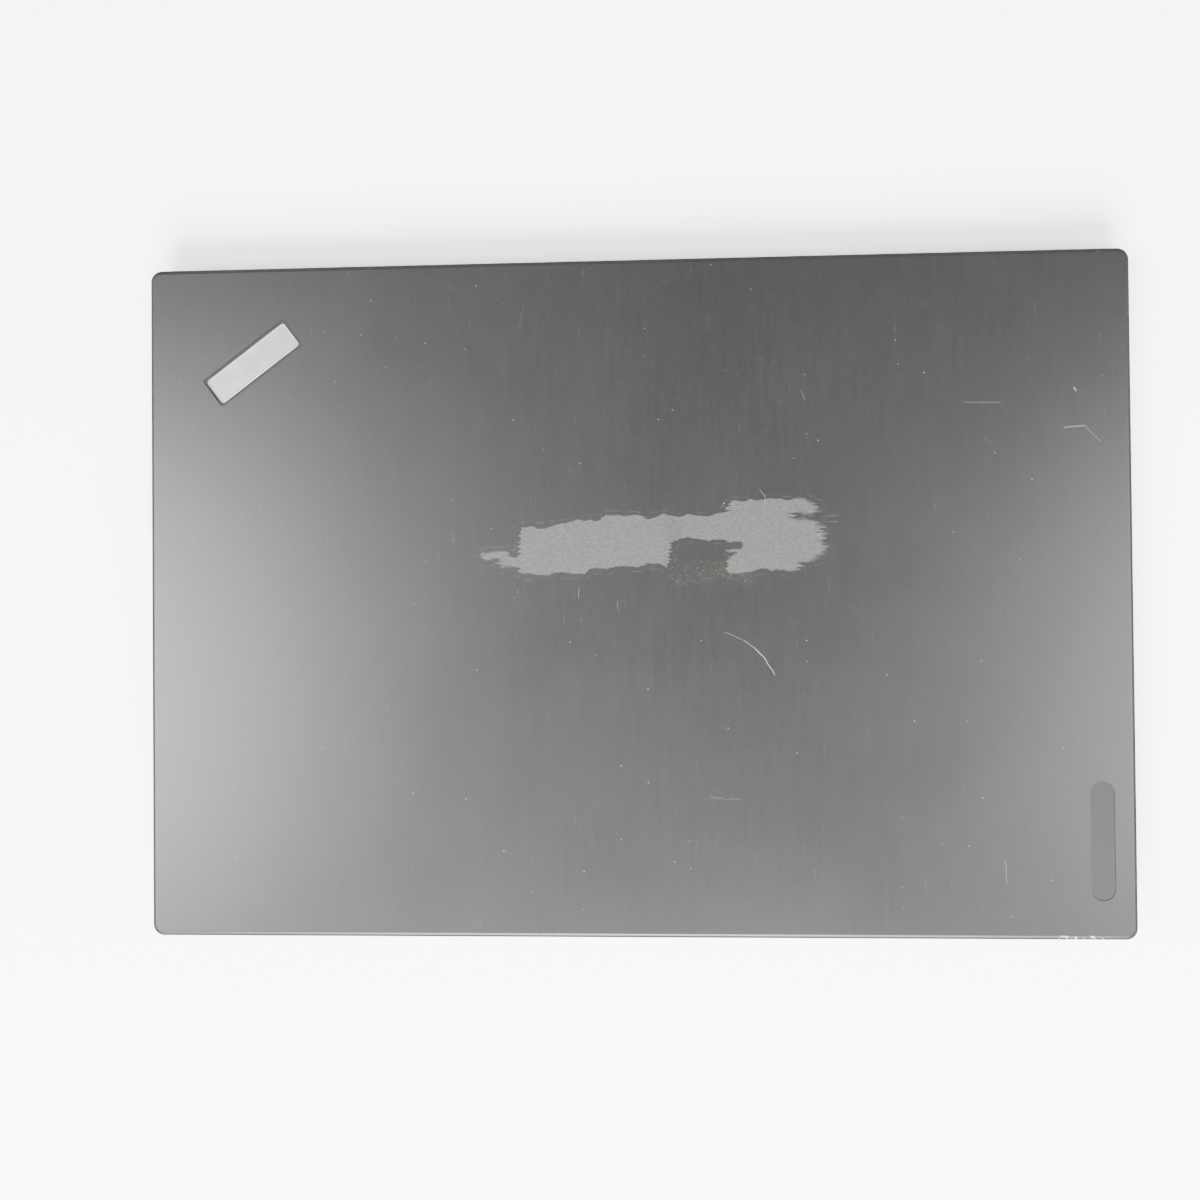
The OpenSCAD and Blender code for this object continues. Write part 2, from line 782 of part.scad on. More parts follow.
module display_bezel() {
  color("#18181a") difference() {
    round_plate(body_w, body_d, corner_r, lid_z0, lid_z0 + bezel_t);
    block([-view_w / 2, view_y0, lid_z0 - 1], [view_w / 2, view_y0 + view_h, lid_z0 + 3]);
    hinge_notches();
    disc([0, camera_y], 2, lid_z0 - 1, lid_z0 + 3);
    for (x = [-30, -8, 30]) disc([x, camera_y], 0.6, lid_z0 - 1, lid_z0 + 3);
  }
}

module lcd_glass() {
  color("#0b0c0e") block([-panel_w / 2, panel_y0, panel_z], [panel_w / 2, panel_y1, panel_z + glass_t]);
}

module lcd_backlight() {
  z0 = panel_z + glass_t + 0.05;
  color("#b9bbbd") block([-panel_w / 2, panel_y0, z0], [panel_w / 2, panel_y1, z0 + backlight_t]);
}

module display_board() {
  color("#1f4a35") block([-120, panel_y1 + 0.3, panel_z], [120, panel_y1 + 9.5, panel_z + 0.8]);
  color("#202021") for (x = [-80, -20, 50])
    block([x, panel_y1 + 2, panel_z + 0.8], [x + 12, panel_y1 + 7, panel_z + 1.6]);
}

module display_cable() {
  color("#303034") {
    block([-90, panel_y1 + 9.6, panel_z + 0.2], [-70, panel_y1 + 14, panel_z + 0.7]);
    block([-113, panel_y1 + 13.9, panel_z + 0.2], [-70, panel_y1 + 20, panel_z + 0.7]);
  }
}

module camera_module() {
  color("#1f4a35") block([-36, camera_y - 3.2, panel_z + 0.3], [36, camera_y + 3.2, panel_z + 1.1]);
  color("#1a1a1b") block([-4, camera_y - 3.2, panel_z + 1.1], [4, camera_y + 3.2, panel_z + 2.6]);
}

module camera_lens() {
  color("#08080a") disc([0, camera_y], 1.9, lid_z0 + 0.3, panel_z + 0.3);
}

module wifi_antennas() {
  color("#9f9a80") both_sides()
    block([55, camera_y - 4, panel_z + 0.5], [110, camera_y + 3.5, panel_z + 0.9]);
}

module lid_bumpers() {
  color("#0f0f10") both_sides() {
    disc([161, -109], 2.4, lid_z0 - lid_gap + 0.05, lid_z0);
    disc([161, 90], 2.4, lid_z0 - lid_gap + 0.05, lid_z0);
    disc([75, -112.4], 1.8, lid_z0 - lid_gap + 0.05, lid_z0);
  }
}

module lid_screws() {
  color("#8a8a8c") both_sides() at_points(lid_screw_at) {
    disc([0, 0], 1.7, arm_z - 0.6, arm_z - 0.05);
    disc([0, 0], 0.8, arm_z - 0.1, lid_z1 - skin_t - 0.2);
  }
}

// ---------- nodes ----------

lid_cover();
lid_badge();
display_bezel();
lcd_glass();
lcd_backlight();
display_board();
display_cable();
camera_module();
camera_lens();
wifi_antennas();
lid_bumpers();
lid_screws();
hinge_arm_left();
hinge_arm_right();
hinge_pins();
top_case();
bottom_cover();
bottom_screws();
rubber_feet();
keyboard_plate();
key_lattice();
rubber_domes();
pointing_stick();
touchpad_bracket();
fingerprint_reader();
motherboard();
processor();
heat_pipe();
heatsink_fins();
fan_housing();
battery_pack();
solid_state_drive();
memory_module();
wireless_card();
coin_cell();
speakers();
hinge_bracket_left();
hinge_bracket_right();
inner_screws();
usb_ports();
usb_c_ports();
hdmi_port();
ethernet_port();
audio_jack();
card_reader();
security_slot();
fan_rotor();
touchpad();
pad_button(-pad_w / 2, -middle_w / 2 - 0.4);  // left_button
pad_button(-middle_w / 2, middle_w / 2);  // middle_button
pad_button(middle_w / 2 + 0.4, pad_w / 2);  // right_button
power_button();
caps(row_keys(function_row, row_at(5), function_d, key_gap));  // function_keys
caps(row_keys(number_row, row_at(4), key_pitch, key_gap));  // number_keys
caps(row_keys(upper_row, row_at(3), key_pitch, key_gap));  // upper_keys
caps(row_keys(home_row, row_at(2), key_pitch, key_gap));  // home_keys
caps(row_keys(lower_row, row_at(1), key_pitch, key_gap));  // lower_keys
/* modifier_keys */ caps([for (i = [0:7]) if (i != space_index) bottom_keys()[i]]);
caps([bottom_keys()[space_index]]);  // space_bar
caps(arrow_cluster());  // arrow_keys
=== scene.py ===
import json
import math

import bmesh
import bpy
from mathutils import Matrix, Vector


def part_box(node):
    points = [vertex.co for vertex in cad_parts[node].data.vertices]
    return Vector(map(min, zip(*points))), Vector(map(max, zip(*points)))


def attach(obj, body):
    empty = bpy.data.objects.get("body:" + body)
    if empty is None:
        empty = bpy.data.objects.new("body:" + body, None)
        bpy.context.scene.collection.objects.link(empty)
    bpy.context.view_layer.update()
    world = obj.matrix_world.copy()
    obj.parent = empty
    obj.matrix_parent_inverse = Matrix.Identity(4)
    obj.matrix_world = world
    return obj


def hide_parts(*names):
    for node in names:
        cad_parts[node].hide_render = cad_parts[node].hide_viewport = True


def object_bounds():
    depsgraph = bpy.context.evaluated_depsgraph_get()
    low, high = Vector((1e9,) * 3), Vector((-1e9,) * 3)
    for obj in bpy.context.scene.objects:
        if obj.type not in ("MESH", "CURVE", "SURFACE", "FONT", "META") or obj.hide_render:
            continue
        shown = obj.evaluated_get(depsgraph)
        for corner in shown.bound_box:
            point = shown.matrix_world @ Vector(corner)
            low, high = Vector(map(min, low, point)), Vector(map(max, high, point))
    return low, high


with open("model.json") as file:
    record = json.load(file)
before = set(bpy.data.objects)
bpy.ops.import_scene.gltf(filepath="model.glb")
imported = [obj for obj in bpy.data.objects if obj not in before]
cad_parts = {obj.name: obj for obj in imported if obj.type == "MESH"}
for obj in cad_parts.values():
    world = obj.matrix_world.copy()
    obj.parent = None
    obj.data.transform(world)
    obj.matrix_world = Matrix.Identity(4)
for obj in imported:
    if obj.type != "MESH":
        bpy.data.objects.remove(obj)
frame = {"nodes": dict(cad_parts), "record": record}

# The looks of a closed notebook computer. Nodes, islands and legends work in metres, in the
# frame's axes. Materials work in millimetres: their place is the object's own coordinate.
MM = 0.001
cad_low, cad_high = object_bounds()
lid_low, lid_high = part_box("lid_cover")
lid_half = (lid_high - lid_low) / 2 / MM
stick_low, stick_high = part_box("pointing_stick")
stick_centre = (stick_low + stick_high) / 2


# ---------- materials ----------

class Look:
    """A material and short calls that add nodes to it. A call's values are numbers or sockets."""

    def __init__(self, name, color, roughness, metallic=0.0, **shader):
        self.material = bpy.data.materials.new(name)
        self.material.use_nodes = True
        self.tree = self.material.node_tree
        self.shader = self.tree.nodes["Principled BSDF"]
        self.set("Base Color", (*color, 1.0))
        self.set("Roughness", roughness)
        self.set("Metallic", metallic)
        for socket, value in shader.items():
            self.set(socket.replace("_", " "), value)
        place = self.node("ShaderNodeTexCoord").outputs["Object"]
        self.place = self.vector("MULTIPLY", place, (1 / MM,) * 3)

    def set(self, socket, value):
        """Links a socket to the shader, or sets the shader's own value."""
        target = self.shader.inputs[socket]
        if isinstance(value, bpy.types.NodeSocket):
            self.tree.links.new(value, target)
        else:
            target.default_value = value

    def node(self, kind, *values, **settings):
        """A node with its first inputs filled; None leaves an input as it is."""
        made = self.tree.nodes.new(kind)
        for key, value in settings.items():
            setattr(made, key, value)
        for socket, value in zip(made.inputs, values):
            if isinstance(value, bpy.types.NodeSocket):
                self.tree.links.new(value, socket)
            elif value is not None:
                socket.default_value = value
        return made

    def math(self, operation, *values, clamp=False):
        return self.node("ShaderNodeMath", *values, operation=operation, use_clamp=clamp).outputs[0]

    def vector(self, operation, *values):
        made = self.node("ShaderNodeVectorMath", *values, operation=operation)
        return made.outputs["Value" if operation in ("LENGTH", "DOT_PRODUCT") else "Vector"]

    def total(self, values):
        """The sum of several values."""
        result = values[0]
        for value in values[1:]:
            result = self.math("ADD", result, value)
        return result

    def noise(self, size, detail=3.0, stretch=(1, 1, 1), place=None):
        """Noise from 0 to 1 with features of about size mm, drawn out along the axes by stretch."""
        scale = [1 / (size * s) for s in stretch]
        place = self.vector("MULTIPLY", place or self.place, scale)
        made = self.node("ShaderNodeTexNoise", place, None, 1.0, detail)
        return made.outputs[0]

    def cells(self, size):
        """Distance in mm to the nearest of scattered points, and each point's own random value."""
        made = self.node("ShaderNodeTexVoronoi", self.place, None, 1 / size)
        distance = self.math("MULTIPLY", made.outputs["Distance"], size)
        chance = self.node("ShaderNodeSeparateColor", made.outputs["Color"]).outputs[0]
        return distance, chance

    def ramp(self, value, start, end, low=0.0, high=1.0):
        """low where value is start and high where it is end, smooth between."""
        made = self.node("ShaderNodeMapRange", value, start, end, low, high,
                         interpolation_type="SMOOTHSTEP")
        return made.outputs[0]

    def spread(self, noise, low, high):
        """The middle of a noise's range, where nearly all of it lies, drawn out to low and high."""
        return self.ramp(noise, 0.3, 0.7, low, high)

    def band(self, value, start, end, soft):
        """1 where value lies between start and end, fading over soft on both sides."""
        rise = self.ramp(value, start - soft, start + soft)
        fall = self.ramp(value, end - soft, end + soft, 1.0, 0.0)
        return self.math("MULTIPLY", rise, fall)

    def blend(self, kind, share, a, b):
        """Two colours put together by a Mix node of one kind."""
        made = self.node("ShaderNodeMix", share, data_type="RGBA", blend_type=kind)
        for socket, value in ((6, a), (7, b)):
            if isinstance(value, bpy.types.NodeSocket):
                self.tree.links.new(value, made.inputs[socket])
            else:
                made.inputs[socket].default_value = (*value[:3], 1.0)
        return made.outputs[2]

    def mix(self, share, a, b):
        """Colour a where share is 0 and b where it is 1."""
        return self.blend("MIX", share, a, b)

    def shade(self, color, factor):
        """A colour made lighter or darker by a factor that varies over the surface."""
        grey = self.node("ShaderNodeCombineColor", factor, factor, factor).outputs[0]
        return self.blend("MULTIPLY", 1.0, color, grey)

    def bump(self, *heights):
        """Relief from (height 0 to 1, depth in mm) pairs."""
        height = self.total([self.math("MULTIPLY", h, depth) for h, depth in heights])
        made = self.tree.nodes.new("ShaderNodeBump")
        made.inputs["Strength"].default_value = 1.0
        made.inputs["Distance"].default_value = MM
        self.tree.links.new(height, made.inputs["Height"])
        self.set("Normal", made.outputs[0])


def grained(name, color, roughness, grain=0.35, depth=0.012, dust=0.0, level=0.15):
    """Moulded or painted surface: fine grain, slow changes of shade, and a little dust."""
    look = Look(name, color, roughness, Specular_IOR_Level=level)
    cloud = look.noise(28, 4)
    fine = look.noise(grain, 3)
    shade = look.math("ADD", look.spread(cloud, 0.95, 1.05), look.spread(fine, -0.1, 0.1))
    color = look.shade(color, shade)
    if dust:
        distance, chance = look.cells(7)
        speck = look.math("MULTIPLY", look.ramp(distance, 0.1, 0.28, 1.0, 0.0),
                          look.ramp(chance, 1 - dust, 1.0))
        color = look.mix(speck, color, (0.06, 0.06, 0.058))
    look.set("Base Color", color)
    look.set("Roughness", look.spread(cloud, roughness - 0.012, roughness + 0.012))
    look.bump((fine, depth), (look.noise(grain * 3, 2), depth))
    return look.material


def metal(name, color, roughness, brushed=(1, 1, 1), depth=0.003):
    """Bare or plated metal with fine lines along the stretched axis and faint stains."""
    look = Look(name, color, roughness, 1.0)
    lines = look.noise(0.15, 3, brushed)
    stain = look.noise(6, 3)
    shade = look.math("ADD", look.spread(stain, 0.86, 1.0), look.spread(lines, -0.06, 0.06))
    look.set("Base Color", look.shade(color, shade))
    look.set("Roughness", look.math("ADD", look.spread(lines, roughness - 0.08, roughness + 0.08),
                                    look.spread(stain, 0.05, -0.03)))
    look.bump((lines, depth))
    return look.material


def rubber(name, color, roughness=0.85):
    """Rubber with a pebbled surface, scuffed lighter in places."""
    look = Look(name, color, roughness, Specular_IOR_Level=0.3)
    distance, chance = look.cells(0.35)
    scuff = look.ramp(look.noise(3, 5, (3, 1, 1)), 0.55, 0.75)
    look.set("Base Color", look.mix(scuff, color, [min(1, c * 1.7 + 0.004) for c in color]))
    look.set("Roughness", look.ramp(chance, 0.0, 1.0, roughness - 0.08, roughness + 0.06))
    look.bump((distance, 0.05), (look.noise(2), 0.01))
    return look.material


def glass(name, color, roughness, sparkle, level):
    """Dark cover glass. Sparkle is the relief of an anti-glare or etched face, in mm."""
    look = Look(name, color, roughness, Specular_IOR_Level=level)
    smear = look.noise(22, 5, (1, 1.6, 1))
    look.set("Base Color", look.shade(color, look.spread(smear, 0.95, 1.08)))
    look.set("Roughness", look.ramp(smear, 0.35, 0.75, roughness, roughness + 0.02))
    look.bump((look.noise(0.12, 2), sparkle))
    return look.material


def circuit_board(name):
    """Solder mask over copper tracks, with rows of tinned pads."""
    green = (0.012, 0.075, 0.04)
    look = Look(name, green, 0.32)
    x, y = look.node("ShaderNodeSeparateXYZ", look.place).outputs[:2]
    blocks = look.ramp(look.noise(9, 1), 0.49, 0.51)
    tracks = look.ramp(look.math("PINGPONG", look.math("ADD", x, look.math("MULTIPLY", y, 0.5)), 0.55),
                       0.2, 0.3)
    cross = look.ramp(look.math("PINGPONG", y, 0.55), 0.2, 0.3)
    line = look.math("ADD", look.math("MULTIPLY", tracks, blocks),
                     look.math("MULTIPLY", cross, look.math("SUBTRACT", 1.0, blocks)), clamp=True)
    distance, chance = look.cells(2.4)
    pad = look.math("MULTIPLY", look.ramp(distance, 0.35, 0.45, 1.0, 0.0), look.ramp(chance, 0.6, 0.7))
    masked = look.mix(line, green, (0.025, 0.13, 0.06))
    look.set("Base Color", look.mix(pad, masked, (0.65, 0.55, 0.3)))
    look.set("Metallic", pad)
    look.bump((line, 0.02), (pad, 0.03))
    return look.material


def box_distance(look, x, y, block):
    """Distance in mm from a rectangle with round corners that leans by slope along its width."""
    centre_x, centre_y, half_x, half_y, radius, slope = block
    across = look.math("SUBTRACT", x, centre_x)
    level = look.math("SUBTRACT", y, centre_y)
    if slope:
        level = look.math("SUBTRACT", level, look.math("MULTIPLY", across, slope))
    out_x = look.math("SUBTRACT", look.math("ABSOLUTE", across), half_x - radius)
    out_y = look.math("SUBTRACT", look.math("ABSOLUTE", level), half_y - radius)
    corner = look.node("ShaderNodeCombineXYZ", look.math("MAXIMUM", out_x, 0.0),
                       look.math("MAXIMUM", out_y, 0.0)).outputs[0]
    inside = look.math("MINIMUM", look.math("MAXIMUM", out_x, out_y), 0.0)
    return look.math("SUBTRACT", look.math("ADD", look.vector("LENGTH", corner), inside), radius)


def line_distance(look, flat, start, end):
    """Distance in mm from a straight line between two points of the lid."""
    along = Vector((*end, 0)) - Vector((*start, 0))
    offset = look.vector("SUBTRACT", flat, (*start, 0))
    share = look.vector("DOT_PRODUCT", offset, along / along.length_squared)
    share = look.math("ADD", share, 0.0, clamp=True)
    foot = look.node("ShaderNodeVectorMath", (*along,), operation="SCALE")
    look.tree.links.new(share, foot.inputs["Scale"])
    return look.vector("LENGTH", look.vector("SUBTRACT", offset, foot.outputs[0]))


# The lid's paint, the metal under it, and the paint's reflection on the face and on the rim
PAINT = (0.0103, 0.0103, 0.0104)
PAINT_ROUGHNESS = 0.32
BARE_METAL = (0.0305, 0.0305, 0.03)
PAINT_GLOSS, RIM_GLOSS = 0.37, 0.06
LID_CORNER = 4
# Where the lid's paint is worn through: rectangles with round corners, in mm from the lid's
# centre, as centre x, centre y, half width, half depth, corner radius and slope.
WORN_BLOCKS = (
    (22.5, -17.7, 15.9, 8, 1.6, 0.09),
    (24.5, -12.6, 10.5, 3.9, 2.5, -0.03),
    (3.5, -20.4, 9.5, 8, 5, 0),
    (-6.5, -19.7, 6.5, 7.8, 3, 0.05),
    (-9.6, -16.5, 2.6, 5.8, 1, -0.3),
    (8, -17.5, 12, 7.2, 2, 0.06),
    (-22.5, -23.6, 12, 4.1, 1, 0.02),
    (-48.2, -22.6, 15.6, 9.9, 3.5, 0.03),
    (-60.5, -17.8, 5, 6, 3, 0.2),
    (-46.5, -13.2, 10.5, 4.6, 2.5, -0.05),
    (-37.2, -10.8, 4.6, 2.2, 1.2, 0.25),
    (47, -15, 5, 1.3, 1, 0.08),
    (41.3, -12.6, 4.2, 2, 1.4, 0),
)
# Spots of paint left inside the worn area
PAINT_ISLANDS = ((-56.5, -27, 2.2, 0.6, 0.5, 0), (-62.2, -26.6, 2.6, 0.8, 0.6, 0.1),
                 (-34.2, -17.2, 3, 1.3, 1, 0.2), (-33, -14, 2.4, 0.9, 0.7, 0.1))
# Streaks of half-torn paint at the right end
TORN_ENDS = ((-65, -25.6, 5, 2.4, 1.5, 0.1), (-64.5, -15.6, 3.6, 3.2, 1.5, 0))
# Scratches: start, end, half width and depth. Light ones are cuts, dark ones are rubs.
LIGHT_SCRATCHES = (
    ((-31.5, 12.4), (-38.3, 15.2), 0.08, 0.35),
    ((-38.3, 15.2), (-41.5, 17.6), 0.09, 0.6),
    ((-41.5, 17.6), (-45, 21.4), 0.12, 1),
    ((-45, 21.4), (-48.3, 26.8), 0.11, 1),
    ((-124.7, -64.7), (-113, -64.9), 0.11, 0.25),
    ((-146, -55.9), (-152.8, -56.1), 0.2, 0.35),
    ((-152.8, -56.1), (-157.6, -51), 0.16, 0.22),
    ((-149.4, -69.4), (-149.9, -68.4), 0.3, 0.4),
    ((-124.4, 89.4), (-125.3, 97.7), 0.1, 0.35),
    ((-43.9, -36.2), (-45.5, -33.9), 0.1, 0.35),
    ((-45.5, -33.9), (-45.2, -30.4), 0.1, 0.3),
    ((-58, -70), (-59.4, -66.5), 0.12, 0.2),
    ((18.6, -3.2), (18.5, 0.2), 0.1, 0.3),
    ((5, 1.2), (4.9, 4.4), 0.1, 0.25),
)
DARK_SCRATCHES = (
    ((36.1, -103.6), (36.9, -98.6), 0.16, 0.6),
    ((36.9, -98.6), (37.9, -92.6), 0.22, 0.8),
    ((-26, 68.2), (-30, 68.6), 0.28, 0.6),
    ((-31, 68.9), (-36, 69.2), 0.2, 0.6),
    ((136.9, 46.5), (126.3, 55.2), 0.16, 0.3),
    ((-118, -110.5), (-119.2, -110.1), 0.5, 0.5),
    ((-12, -80), (-12.4, -71), 0.12, 0.3),
)
# Pale grit beside the worn area: centre x, centre y, half width, half depth, corner radius, slope
GRIT_PATCHES = ((-16.5, -6.3, 4, 2.2, 2, 0), (-37.6, -6.2, 3.6, 1.8, 1.6, 0), (-27, -8.5, 9, 3.5, 3, 0))


def box_field(look, x, y, blocks, blend):
    """Distance in mm from several blocks, their joins rounded off over blend mm."""
    distance = box_distance(look, x, y, blocks[0])
    for block in blocks[1:]:
        distance = look.math("SMOOTH_MIN", distance, box_distance(look, x, y, block), blend)
    return distance


def scratch_cover(look, flat, scratches):
    """Depth of the scratches at a place, with their lines a little bent."""
    wander = look.node("ShaderNodeTexNoise", flat, None, 0.15, 2.0).outputs[1]
    bend = look.vector("MULTIPLY", look.vector("SUBTRACT", wander, (0.5,) * 3), (1.6, 1.6, 0))
    bent = look.vector("ADD", flat, bend)
    lines = []
    for start, end, width, depth in scratches:
        away = line_distance(look, bent, start, end)
        lines.append(look.ramp(away, width * 0.4, width * 1.5, depth, 0.0))
    cover = look.total(lines)
    return look.math("MINIMUM", cover, 1.0)


def worn_patch(look, x, y):
    """Cover of the bare patch, the polished line round it, its frayed fringe and its fibres."""
    streak = look.noise(0.6, 4, (9, 1, 1))
    reach = look.math("ADD", look.ramp(x, -58, -24, 13.0, 4.5), look.ramp(x, 36, 42, 0.0, 5.0))
    wobble = look.noise(7, 4)
    torn_x = look.math("ADD", x, look.math("MULTIPLY", look.math("SUBTRACT", streak, 0.5), reach))
    torn_y = look.math("ADD", y, look.math("MULTIPLY", look.math("SUBTRACT", wobble, 0.5), 5.0))
    distance = box_field(look, torn_x, torn_y, WORN_BLOCKS, 2.6)
    islands_at = look.math("MULTIPLY", box_field(look, torn_x, torn_y, PAINT_ISLANDS, 0.3), -1.0)
    distance = look.math("MAXIMUM", distance, islands_at)
    soft = look.math("ADD", look.ramp(x, -68, -50, -2.6, -0.45), look.ramp(x, 38, 44, 0.0, -0.4))
    bare = look.ramp(distance, soft, 0.15, 1.0, 0.0)
    broken = look.ramp(look.noise(2.2, 4, (3, 1, 1)), 0.38, 0.6, 0.15, 1.0)
    polished = look.math("MULTIPLY", look.band(distance, 0.2, 1.0, 0.3), broken)
    fringe = look.math("MULTIPLY", look.band(distance, 1.25, 1.8, 0.25),
                       look.ramp(look.noise(0.9, 4, (4, 1, 1)), 0.48, 0.62))
    fibre = look.noise(0.34, 4, (3, 1, 1))
    torn = look.ramp(box_field(look, torn_x, torn_y, TORN_ENDS, 1.0), -1.2, 0.8, 1.0, 0.0)
    shreds = look.noise(1.1, 4, (5, 1, 1))
    worn_through = look.math("MULTIPLY", torn, look.ramp(shreds, 0.4, 0.5, 0.9, 0.1))
    polished = look.math("MAXIMUM", polished, worn_through)
    standing = look.math("MULTIPLY", torn, look.ramp(shreds, 0.56, 0.62))
    fringe = look.math("MAXIMUM", fringe, standing)
    return bare, polished, fringe, fibre


def loose_marks(look, x, y):
    """Cover of dust, of short hairlines in two directions and of grit beside the bare patch."""
    spacing, chance = look.cells(4.5)
    dust = look.math("MULTIPLY", look.ramp(spacing, 0.1, 0.29, 1.0, 0.0), look.ramp(chance, 0.4, 0.95))
    slanted = look.node("ShaderNodeVectorRotate", look.place, None, (0, 0, 1), math.radians(38),
                        rotation_type="Z_AXIS").outputs[0]
    hairs = look.math("ADD", look.ramp(look.noise(0.7, 1, (16, 1, 1), slanted), 0.76, 0.82),
                      look.ramp(look.noise(0.7, 1, (1, 13, 1)), 0.74, 0.8), clamp=True)
    near_patch = look.ramp(box_field(look, x, y, GRIT_PATCHES, 0.5), -1.5, 1.5, 1.0, 0.0)
    grit = look.math("MULTIPLY", near_patch, look.ramp(look.noise(0.42, 3, (1.8, 1, 1)), 0.52, 0.66))
    return dust, hairs, grit


def edge_wear_and_recess_shade(look, x, y, z, rim):
    """Cover of the rubbed rim, of the chips along the rear and of painted shade on the floors of
    recesses.
    """
    top = lid_high.z / MM
    rubbed = look.math("MULTIPLY", look.ramp(rim, -1.3, -0.3),
                       look.ramp(look.noise(7, 4), 0.45, 0.7, 0.1, 0.6))
    # A chip is where all five of these are nearly 1
    chips = look.total([look.ramp(rim, -1.9, -1.4), look.band(x, -159, -141, 2), look.ramp(y, 100, 110),
                        look.ramp(z, top - 1.4, top - 0.9), look.ramp(look.noise(1.3, 2), 0.56, 0.6)])
    chips = look.ramp(chips, 4.7, 4.9)
    # Painted shade: places below the lid's face and away from its rim, the floors and walls of recesses,
    # are marked to be darkened
    below_face = look.ramp(z, top - 0.2, top - 0.12, 1.0, 0.0)
    painted_recess_shade = look.math("MULTIPLY", below_face, look.ramp(rim, -3.0, -2.5, 1.0, 0.0))
    return rubbed, chips, painted_recess_shade


def worn_paint(name):
    """The lid's soft-touch paint: specks, rubs, scratches, chipped edges, the worn patch and painted
    shade in its recesses.
    """
    look = Look(name, PAINT, PAINT_ROUGHNESS, Specular_IOR_Level=PAINT_GLOSS)
    x, y, z = look.node("ShaderNodeSeparateXYZ", look.place).outputs[:3]
    flat = look.node("ShaderNodeCombineXYZ", x, y).outputs[0]
    bare, polished, fringe, fibre = worn_patch(look, x, y)
    light = scratch_cover(look, flat, LIGHT_SCRATCHES)
    dark = scratch_cover(look, flat, DARK_SCRATCHES)

    dust, hairs, grit = loose_marks(look, x, y)
    rim = box_distance(look, x, y, (0, 0, lid_half.x, lid_half.y, LID_CORNER, 0))
    rubbed, chips, painted_recess_shade = edge_wear_and_recess_shade(look, x, y, z, rim)

    # Slow clouds, wiping marks and fine grain
    cloud = look.noise(45, 5)
    wipe = look.noise(1.2, 4, (1, 14, 1))
    grain = look.noise(0.55, 3)
    tone = look.total([look.spread(cloud, 0.96, 1.04), look.spread(grain, -0.1, 0.1),
                       look.spread(wipe, -0.05, 0.05)])
    color = look.shade(PAINT, tone)

    # The bare patch is brushed metal, a little dimmer in one band across it
    dim_band = look.math("MULTIPLY", look.band(x, -17.2, -11.5, 1.2), look.ramp(y, -29, -27, 0.0, -0.16))
    bare_color = look.shade(BARE_METAL, look.total([
        look.ramp(fibre, 0.25, 0.75, 0.66, 1.3), look.spread(look.noise(0.3, 2), -0.15, 0.15),
        dim_band]))
    for cover, share, tint in (
            (polished, 0.8, (0.002, 0.002, 0.002)), (fringe, 0.5, (0.028, 0.028, 0.0275)),
            (bare, 1.0, bare_color), (dust, 0.8, (0.12, 0.12, 0.115)), (hairs, 0.35, (0.03, 0.03, 0.03)),
            (grit, 0.6, (0.032, 0.033, 0.027)), (rubbed, 0.4, (0.018, 0.017, 0.0165)),
            (light, 1.0, (0.13, 0.13, 0.124)), (dark, 1.0, (0.0015, 0.0015, 0.0015)),
            # painted shade: the dark tint laid over the floors and walls of recesses
            (painted_recess_shade, 0.8, (0.0025, 0.0025, 0.0025)), (chips, 1.0, (0.22, 0.21, 0.2))):
        color = look.mix(look.math("MULTIPLY", cover, share), color, tint)
    look.set("Base Color", color)

    look.set("Roughness", look.total([
        look.spread(cloud, 0.318, 0.33), look.spread(wipe, -0.003, 0.003),
        look.math("MULTIPLY", bare, 0.2), look.math("MULTIPLY", polished, 0.1),
        look.math("MULTIPLY", dark, 0.3), look.math("MULTIPLY", painted_recess_shade, 0.25),
        look.ramp(rim, -1.5, -0.5, 0.0, 0.2)]))
    look.set("Specular IOR Level", look.ramp(rim, -1.3, -0.5, PAINT_GLOSS, RIM_GLOSS))
    relief = look.math("MULTIPLY", look.noise(0.18, 3), look.math("SUBTRACT", 1.0, bare))
    look.bump((relief, 0.004), (look.math("MULTIPLY", fibre, bare), 0.02), (bare, -0.04),
              (light, -0.03), (chips, -0.06), (dust, 0.03))
    return look.material


def cell_wrap(name):
    """Black film over battery cells, with soft creases."""
    look = Look(name, (0.02, 0.02, 0.023), 0.38)
    crease = look.noise(9, 5, (1, 2.5, 1))
    look.set("Base Color", look.shade((0.022, 0.022, 0.025), look.spread(crease, 0.8, 1.3)))
    look.set("Roughness", look.spread(crease, 0.3, 0.48))
    look.bump((crease, 0.25), (look.noise(0.4), 0.01))
    return look.material


def key_print():
    """Pad-printed legends: off-white ink, thinned by wear."""
    off_white = (0.62, 0.63, 0.64)
    look = Look("key_print", off_white, 0.55)
    wear = look.ramp(look.noise(1.4, 4), 0.3, 0.62, 0.7, 1.0)
    look.set("Base Color", look.shade(off_white, wear))
    look.bump((look.noise(0.2), 0.004))
    return look.material


